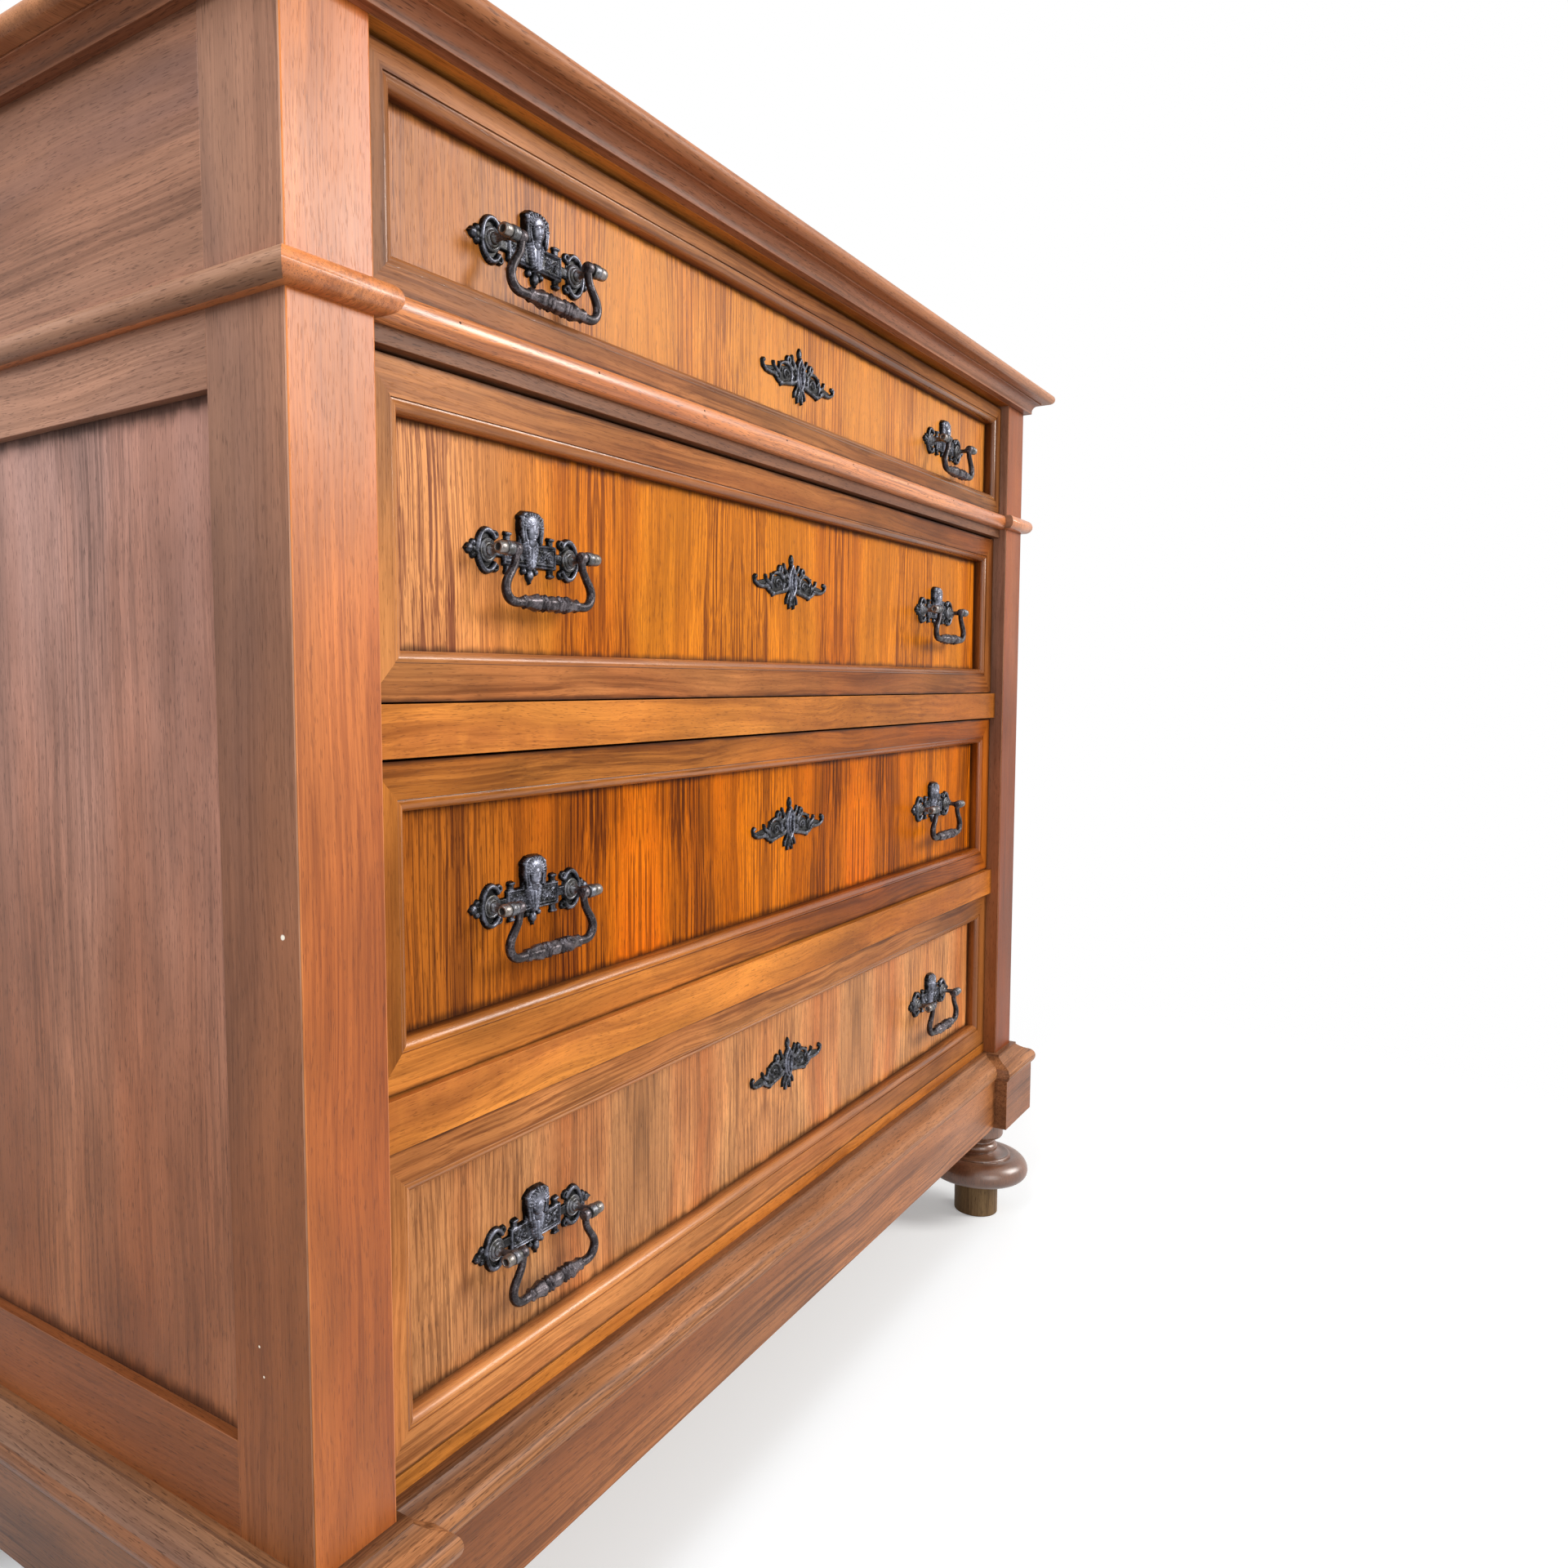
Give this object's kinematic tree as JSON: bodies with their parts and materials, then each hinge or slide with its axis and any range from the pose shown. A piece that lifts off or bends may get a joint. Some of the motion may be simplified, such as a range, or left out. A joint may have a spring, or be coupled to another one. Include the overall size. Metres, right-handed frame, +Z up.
{
  "type": "chest of drawers",
  "caption": "Walnut chest of full-width drawers on turned bun feet, with framed sides, coved cornice, waist bead, breakfront plinth, bail pulls and pierced keyhole plates.",
  "frame": {"origin": "centre of the footprint on the floor", "axes": "+X to the viewer's right along the front, +Y towards the back, +Z up"},
  "size_m": [1.184, 0.561, 0.998],
  "materials": {
    "walnut": "satin polish",
    "veneer": "gloss polish",
    "walnut_panel": "satin polish",
    "secondary_wood": "plain",
    "dark_metal": "dark patina"
  },
  "bodies": {
    "case": {"top_board": "walnut", "cornice_front": "walnut", "cornice_sides": "walnut", "front_left_post": "walnut", "front_right_post": "walnut", "back_left_post": "walnut", "back_right_post": "walnut", "left_side_rails": "walnut", "right_side_rails": "walnut", "left_side_panel": "walnut_panel", "right_side_panel": "walnut_panel", "top_rail": "walnut", "waist_rail": "walnut", "drawer_rails": "walnut", "bottom_rail": "walnut", "waist_bead_front": "walnut", "waist_bead_ends": "walnut", "plinth_boards": "walnut", "plinth_blocks": "walnut", "plinth_cap": "walnut", "drawer_runners": "secondary_wood", "bottom_board": "secondary_wood", "back_panel": "secondary_wood", "feet": "walnut"},
    "drawer_1": {"drawer_1_front": "veneer", "drawer_1_front_frame": "walnut", "drawer_1_sides": "secondary_wood", "drawer_1_back": "secondary_wood", "drawer_1_bottom": "secondary_wood", "drawer_1_lock_set": "dark_metal", "drawer_1_pull_plates": "dark_metal"},
    "drawer_1_left_bail": {"drawer_1_left_bail": "dark_metal"},
    "drawer_1_right_bail": {"drawer_1_right_bail": "dark_metal"},
    "drawer_2": {"drawer_2_front": "veneer", "drawer_2_front_frame": "walnut", "drawer_2_sides": "secondary_wood", "drawer_2_back": "secondary_wood", "drawer_2_bottom": "secondary_wood", "drawer_2_lock_set": "dark_metal", "drawer_2_pull_plates": "dark_metal"},
    "drawer_2_left_bail": {"drawer_2_left_bail": "dark_metal"},
    "drawer_2_right_bail": {"drawer_2_right_bail": "dark_metal"},
    "drawer_3": {"drawer_3_front": "veneer", "drawer_3_front_frame": "walnut", "drawer_3_sides": "secondary_wood", "drawer_3_back": "secondary_wood", "drawer_3_bottom": "secondary_wood", "drawer_3_lock_set": "dark_metal", "drawer_3_pull_plates": "dark_metal"},
    "drawer_3_left_bail": {"drawer_3_left_bail": "dark_metal"},
    "drawer_3_right_bail": {"drawer_3_right_bail": "dark_metal"},
    "drawer_4": {"drawer_4_front": "veneer", "drawer_4_front_frame": "walnut", "drawer_4_sides": "secondary_wood", "drawer_4_back": "secondary_wood", "drawer_4_bottom": "secondary_wood", "drawer_4_lock_set": "dark_metal", "drawer_4_pull_plates": "dark_metal"},
    "drawer_4_left_bail": {"drawer_4_left_bail": "dark_metal"},
    "drawer_4_right_bail": {"drawer_4_right_bail": "dark_metal"}
  },
  "joints": [
    {"name": "drawer_1_slide", "type": "slide", "parent": "case", "child": "drawer_1", "axis": [0, -1, 0], "range_m": [0, 0.38]},
    {"name": "drawer_1_left_bail_swing", "type": "hinge", "parent": "drawer_1", "child": "drawer_1_left_bail", "pos_m": [-0.354, -0.2469, 0.905], "axis": [-1, 0, 0], "range_deg": [-20, 180]},
    {"name": "drawer_1_right_bail_swing", "type": "hinge", "parent": "drawer_1", "child": "drawer_1_right_bail", "pos_m": [0.344, -0.2469, 0.905], "axis": [-1, 0, 0], "range_deg": [-20, 180]},
    {"name": "drawer_2_slide", "type": "slide", "parent": "case", "child": "drawer_2", "axis": [0, -1, 0], "range_m": [0, 0.38]},
    {"name": "drawer_2_left_bail_swing", "type": "hinge", "parent": "drawer_2", "child": "drawer_2_left_bail", "pos_m": [-0.354, -0.241, 0.731], "axis": [-1, 0, 0], "range_deg": [-20, 180]},
    {"name": "drawer_2_right_bail_swing", "type": "hinge", "parent": "drawer_2", "child": "drawer_2_right_bail", "pos_m": [0.344, -0.241, 0.731], "axis": [-1, 0, 0], "range_deg": [-20, 180]},
    {"name": "drawer_3_slide", "type": "slide", "parent": "case", "child": "drawer_3", "axis": [0, -1, 0], "range_m": [0, 0.38]},
    {"name": "drawer_3_left_bail_swing", "type": "hinge", "parent": "drawer_3", "child": "drawer_3_left_bail", "pos_m": [-0.354, -0.241, 0.521], "axis": [-1, 0, 0], "range_deg": [-20, 180]},
    {"name": "drawer_3_right_bail_swing", "type": "hinge", "parent": "drawer_3", "child": "drawer_3_right_bail", "pos_m": [0.344, -0.241, 0.521], "axis": [-1, 0, 0], "range_deg": [-20, 180]},
    {"name": "drawer_4_slide", "type": "slide", "parent": "case", "child": "drawer_4", "axis": [0, -1, 0], "range_m": [0, 0.38]},
    {"name": "drawer_4_left_bail_swing", "type": "hinge", "parent": "drawer_4", "child": "drawer_4_left_bail", "pos_m": [-0.354, -0.241, 0.3095], "axis": [-1, 0, 0], "range_deg": [-20, 180]},
    {"name": "drawer_4_right_bail_swing", "type": "hinge", "parent": "drawer_4", "child": "drawer_4_right_bail", "pos_m": [0.344, -0.241, 0.3095], "axis": [-1, 0, 0], "range_deg": [-20, 180]}
  ]
}
